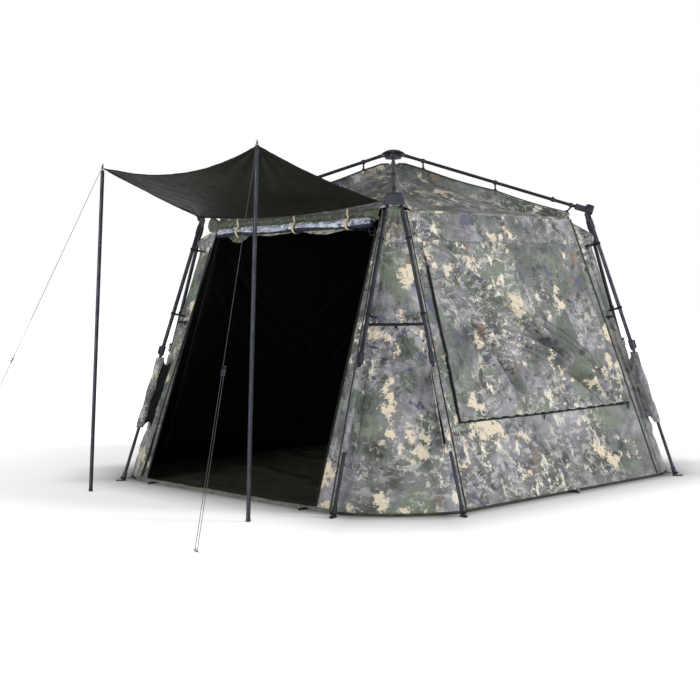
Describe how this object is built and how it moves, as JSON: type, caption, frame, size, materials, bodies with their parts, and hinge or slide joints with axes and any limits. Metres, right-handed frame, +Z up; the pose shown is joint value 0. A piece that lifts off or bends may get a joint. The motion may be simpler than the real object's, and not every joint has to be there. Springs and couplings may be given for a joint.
{
  "type": "pop up tent",
  "caption": "Quick-erect shelter with an outside folding frame, telescopic legs, a hung fabric body with a rolled-up door, and a porch sheet on guyed poles.",
  "frame": {"origin": "on the ground under the hub, at the middle of the groundsheet's underside", "axes": "+Z up, door faces -Y, +X to the right of somebody who looks at the door from outside"},
  "size_m": [3.2178, 4.3166, 2.234],
  "materials": {
    "frame_tube": "satin dark grey",
    "moulded_plastic": "moulded",
    "pin_steel": "brushed",
    "camo_cloth": "coated polyester, printed",
    "porch_cloth": "coated polyester",
    "clear_film": "crinkled clear film",
    "tie_webbing": "woven",
    "floor_sheet": "coated",
    "guy_cord": "braided"
  },
  "bodies": {
    "hub": {"hub_body": "moulded_plastic", "hub_pins": "pin_steel", "hub_cap": "moulded_plastic", "hub_stem": "moulded_plastic", "wall_right": "camo_cloth", "wall_back": "camo_cloth", "wall_left": "camo_cloth", "wall_front": "camo_cloth", "corner_panels": "camo_cloth", "roof": "camo_cloth", "groundsheet": "floor_sheet", "window_flaps": "camo_cloth", "door_roll": "clear_film", "door_ties": "tie_webbing", "leg_webs": "camo_cloth", "wall_pegs": "pin_steel", "porch_sheet": "porch_cloth", "porch_pole_left": "frame_tube", "porch_pole_right": "frame_tube", "guy_line_left": "guy_cord", "guy_line_right": "guy_cord", "guy_peg_left": "pin_steel", "guy_peg_right": "pin_steel"},
    "arm_front_right": {"roof_arm_front_right": "frame_tube", "elbow_front_right": "moulded_plastic"},
    "leg_front_right_1": {"upper_leg_front_right_1": "frame_tube"},
    "lower_front_right_1": {"lower_leg_front_right_1": "frame_tube"},
    "lever_front_right_1": {"lock_lever_front_right_1": "moulded_plastic"},
    "leg_front_right_2": {"upper_leg_front_right_2": "frame_tube"},
    "lower_front_right_2": {"lower_leg_front_right_2": "frame_tube"},
    "lever_front_right_2": {"lock_lever_front_right_2": "moulded_plastic"},
    "arm_back_right": {"roof_arm_back_right": "frame_tube", "elbow_back_right": "moulded_plastic"},
    "leg_back_right_1": {"upper_leg_back_right_1": "frame_tube"},
    "lower_back_right_1": {"lower_leg_back_right_1": "frame_tube"},
    "lever_back_right_1": {"lock_lever_back_right_1": "moulded_plastic"},
    "leg_back_right_2": {"upper_leg_back_right_2": "frame_tube"},
    "lower_back_right_2": {"lower_leg_back_right_2": "frame_tube"},
    "lever_back_right_2": {"lock_lever_back_right_2": "moulded_plastic"},
    "arm_back_left": {"roof_arm_back_left": "frame_tube", "elbow_back_left": "moulded_plastic"},
    "leg_back_left_1": {"upper_leg_back_left_1": "frame_tube"},
    "lower_back_left_1": {"lower_leg_back_left_1": "frame_tube"},
    "lever_back_left_1": {"lock_lever_back_left_1": "moulded_plastic"},
    "leg_back_left_2": {"upper_leg_back_left_2": "frame_tube"},
    "lower_back_left_2": {"lower_leg_back_left_2": "frame_tube"},
    "lever_back_left_2": {"lock_lever_back_left_2": "moulded_plastic"},
    "arm_front_left": {"roof_arm_front_left": "frame_tube", "elbow_front_left": "moulded_plastic"},
    "leg_front_left_1": {"upper_leg_front_left_1": "frame_tube"},
    "lower_front_left_1": {"lower_leg_front_left_1": "frame_tube"},
    "lever_front_left_1": {"lock_lever_front_left_1": "moulded_plastic"},
    "leg_front_left_2": {"upper_leg_front_left_2": "frame_tube"},
    "lower_front_left_2": {"lower_leg_front_left_2": "frame_tube"},
    "lever_front_left_2": {"lock_lever_front_left_2": "moulded_plastic"},
    "guy_slider_left": {"guy_slider_left": "moulded_plastic"},
    "guy_slider_right": {"guy_slider_right": "moulded_plastic"},
    "window_zip_slider": {"window_zip_slider": "moulded_plastic"},
    "vent_zip_slider": {"vent_zip_slider": "moulded_plastic"}
  },
  "joints": [
    {"name": "roof_fold", "type": "hinge", "parent": "hub", "child": "arm_front_right", "pos_m": [0.0495, -0.0495, 2.195], "axis": [-0.7071, -0.7071, 0], "range_deg": [0, 102], "deforming": ["wall_right", "wall_back", "wall_left", "wall_front", "corner_panels", "roof", "groundsheet", "window_flaps", "door_roll", "door_ties", "leg_webs", "porch_sheet"]},
    {"name": "leg_fold_front_right_1", "type": "hinge", "parent": "arm_front_right", "child": "leg_front_right_1", "pos_m": [0.91429, -0.97369, 1.765], "axis": [0.6485, 0.7357, -0.1956], "range_deg": [0, 118]},
    {"name": "leg_slide_front_right_1", "type": "slide", "parent": "leg_front_right_1", "child": "lower_front_right_1", "axis": [-0.0759, 0.3182, 0.945], "range_m": [0, 0.7]},
    {"name": "lock_lever_front_right_1", "type": "hinge", "parent": "leg_front_right_1", "child": "lever_front_right_1", "pos_m": [1.00192, -1.28177, 0.89692], "axis": [-0.6485, -0.7357, 0.1956], "range_deg": [0, 80]},
    {"name": "leg_fold_front_right_2", "type": "hinge", "parent": "arm_front_right", "child": "leg_front_right_2", "pos_m": [0.97369, -0.91429, 1.765], "axis": [0.7357, 0.6485, 0.1956], "range_deg": [0, 118]},
    {"name": "leg_slide_front_right_2", "type": "slide", "parent": "leg_front_right_2", "child": "lower_front_right_2", "axis": [-0.3182, 0.0759, 0.945], "range_m": [0, 0.7]},
    {"name": "lock_lever_front_right_2", "type": "hinge", "parent": "leg_front_right_2", "child": "lever_front_right_2", "pos_m": [1.28177, -1.00192, 0.89692], "axis": [-0.7357, -0.6485, -0.1956], "range_deg": [0, 80]},
    {"name": "roof_fold_back_right", "type": "hinge", "parent": "hub", "child": "arm_back_right", "pos_m": [0.0495, 0.0495, 2.195], "axis": [0.7071, -0.7071, 0], "range_deg": [0, 102]},
    {"name": "leg_fold_back_right_1", "type": "hinge", "parent": "arm_back_right", "child": "leg_back_right_1", "pos_m": [0.97369, 0.91429, 1.765], "axis": [-0.7357, 0.6485, -0.1956], "range_deg": [0, 118]},
    {"name": "leg_slide_back_right_1", "type": "slide", "parent": "leg_back_right_1", "child": "lower_back_right_1", "axis": [-0.3182, -0.0759, 0.945], "range_m": [0, 0.7]},
    {"name": "lock_lever_back_right_1", "type": "hinge", "parent": "leg_back_right_1", "child": "lever_back_right_1", "pos_m": [1.28177, 1.00192, 0.89692], "axis": [0.7357, -0.6485, 0.1956], "range_deg": [0, 80]},
    {"name": "leg_fold_back_right_2", "type": "hinge", "parent": "arm_back_right", "child": "leg_back_right_2", "pos_m": [0.91429, 0.97369, 1.765], "axis": [-0.6485, 0.7357, 0.1956], "range_deg": [0, 118]},
    {"name": "leg_slide_back_right_2", "type": "slide", "parent": "leg_back_right_2", "child": "lower_back_right_2", "axis": [-0.0759, -0.3182, 0.945], "range_m": [0, 0.7]},
    {"name": "lock_lever_back_right_2", "type": "hinge", "parent": "leg_back_right_2", "child": "lever_back_right_2", "pos_m": [1.00192, 1.28177, 0.89692], "axis": [0.6485, -0.7357, -0.1956], "range_deg": [0, 80]},
    {"name": "roof_fold_back_left", "type": "hinge", "parent": "hub", "child": "arm_back_left", "pos_m": [-0.0495, 0.0495, 2.195], "axis": [0.7071, 0.7071, 0], "range_deg": [0, 102]},
    {"name": "leg_fold_back_left_1", "type": "hinge", "parent": "arm_back_left", "child": "leg_back_left_1", "pos_m": [-0.91429, 0.97369, 1.765], "axis": [-0.6485, -0.7357, -0.1956], "range_deg": [0, 118]},
    {"name": "leg_slide_back_left_1", "type": "slide", "parent": "leg_back_left_1", "child": "lower_back_left_1", "axis": [0.0759, -0.3182, 0.945], "range_m": [0, 0.7]},
    {"name": "lock_lever_back_left_1", "type": "hinge", "parent": "leg_back_left_1", "child": "lever_back_left_1", "pos_m": [-1.00192, 1.28177, 0.89692], "axis": [0.6485, 0.7357, 0.1956], "range_deg": [0, 80]},
    {"name": "leg_fold_back_left_2", "type": "hinge", "parent": "arm_back_left", "child": "leg_back_left_2", "pos_m": [-0.97369, 0.91429, 1.765], "axis": [-0.7357, -0.6485, 0.1956], "range_deg": [0, 118]},
    {"name": "leg_slide_back_left_2", "type": "slide", "parent": "leg_back_left_2", "child": "lower_back_left_2", "axis": [0.3182, -0.0759, 0.945], "range_m": [0, 0.7]},
    {"name": "lock_lever_back_left_2", "type": "hinge", "parent": "leg_back_left_2", "child": "lever_back_left_2", "pos_m": [-1.28177, 1.00192, 0.89692], "axis": [0.7357, 0.6485, -0.1956], "range_deg": [0, 80]},
    {"name": "roof_fold_front_left", "type": "hinge", "parent": "hub", "child": "arm_front_left", "pos_m": [-0.0495, -0.0495, 2.195], "axis": [-0.7071, 0.7071, 0], "range_deg": [0, 102]},
    {"name": "leg_fold_front_left_1", "type": "hinge", "parent": "arm_front_left", "child": "leg_front_left_1", "pos_m": [-0.97369, -0.91429, 1.765], "axis": [0.7357, -0.6485, -0.1956], "range_deg": [0, 118]},
    {"name": "leg_slide_front_left_1", "type": "slide", "parent": "leg_front_left_1", "child": "lower_front_left_1", "axis": [0.3182, 0.0759, 0.945], "range_m": [0, 0.7]},
    {"name": "lock_lever_front_left_1", "type": "hinge", "parent": "leg_front_left_1", "child": "lever_front_left_1", "pos_m": [-1.28177, -1.00192, 0.89692], "axis": [-0.7357, 0.6485, 0.1956], "range_deg": [0, 80]},
    {"name": "leg_fold_front_left_2", "type": "hinge", "parent": "arm_front_left", "child": "leg_front_left_2", "pos_m": [-0.91429, -0.97369, 1.765], "axis": [0.6485, -0.7357, 0.1956], "range_deg": [0, 118]},
    {"name": "leg_slide_front_left_2", "type": "slide", "parent": "leg_front_left_2", "child": "lower_front_left_2", "axis": [0.0759, 0.3182, 0.945], "range_m": [0, 0.7]},
    {"name": "lock_lever_front_left_2", "type": "hinge", "parent": "leg_front_left_2", "child": "lever_front_left_2", "pos_m": [-1.00192, -1.28177, 0.89692], "axis": [-0.6485, 0.7357, -0.1956], "range_deg": [0, 80]},
    {"name": "guy_slider_left", "type": "slide", "parent": "hub", "child": "guy_slider_left", "axis": [-0.2301, -0.3675, -0.9011], "range_m": [0, 0.25]},
    {"name": "guy_slider_right", "type": "slide", "parent": "hub", "child": "guy_slider_right", "axis": [0.2256, -0.3702, -0.9011], "range_m": [0, 0.25]},
    {"name": "window_zip", "type": "slide", "parent": "leg_back_right_1", "child": "window_zip_slider", "axis": [0, -1, 0], "range_m": [0, 1.55]},
    {"name": "vent_zip", "type": "slide", "parent": "leg_front_right_1", "child": "vent_zip_slider", "axis": [0.7071, 0.7071, 0], "range_m": [0, 0.26]}
  ],
  "couplings": [
    {"joint": "leg_fold_front_right_1", "follows": "roof_fold", "ratio": 1.1569},
    {"joint": "leg_fold_front_right_2", "follows": "roof_fold", "ratio": 1.1569},
    {"joint": "roof_fold_back_right", "follows": "roof_fold", "ratio": 1},
    {"joint": "leg_fold_back_right_1", "follows": "roof_fold", "ratio": 1.1569},
    {"joint": "leg_fold_back_right_2", "follows": "roof_fold", "ratio": 1.1569},
    {"joint": "roof_fold_back_left", "follows": "roof_fold", "ratio": 1},
    {"joint": "leg_fold_back_left_1", "follows": "roof_fold", "ratio": 1.1569},
    {"joint": "leg_fold_back_left_2", "follows": "roof_fold", "ratio": 1.1569},
    {"joint": "roof_fold_front_left", "follows": "roof_fold", "ratio": 1},
    {"joint": "leg_fold_front_left_1", "follows": "roof_fold", "ratio": 1.1569},
    {"joint": "leg_fold_front_left_2", "follows": "roof_fold", "ratio": 1.1569}
  ]
}
